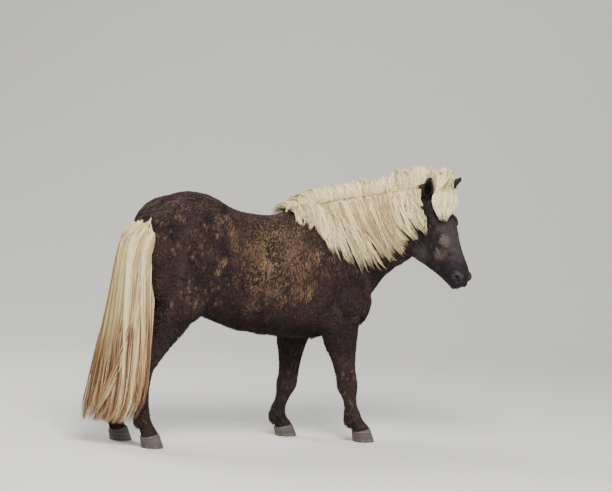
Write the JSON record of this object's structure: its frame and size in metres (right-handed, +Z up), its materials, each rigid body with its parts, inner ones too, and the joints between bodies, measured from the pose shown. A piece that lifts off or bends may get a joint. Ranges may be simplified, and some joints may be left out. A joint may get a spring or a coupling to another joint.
{
  "type": "icelandic horse, still life-size model",
  "caption": "Life-size still model of a silver dapple Icelandic horse, standing with its head turned to the right, with long mane, forelock and tail.",
  "frame": {"origin": "on the floor, under the middle of the model's box", "axes": "+X is the way the body faces, +Y its left side, +Z up"},
  "size_m": [2.0094, 0.9326, 1.5419],
  "materials": {
    "coat": "dark chocolate winter coat with tan dapples",
    "mane_and_neck_coat": "cream mane over a dark neck",
    "tail_hair": "cream hair with brown strands",
    "hoof_horn": "dark horn",
    "eye": "wet gloss"
  },
  "bodies": {
    "root": {"ear_left": "coat", "ear_right": "coat", "eye_left": "eye", "eye_right": "eye", "fore_left_hoof": "hoof_horn", "fore_left_leg": "coat", "fore_right_hoof": "hoof_horn", "fore_right_leg": "coat", "head": "coat", "hind_left_hoof": "hoof_horn", "hind_left_leg": "coat", "hind_right_hoof": "hoof_horn", "hind_right_leg": "coat", "neck": "mane_and_neck_coat", "tail": "tail_hair", "torso": "coat"}
  },
  "joints": []
}
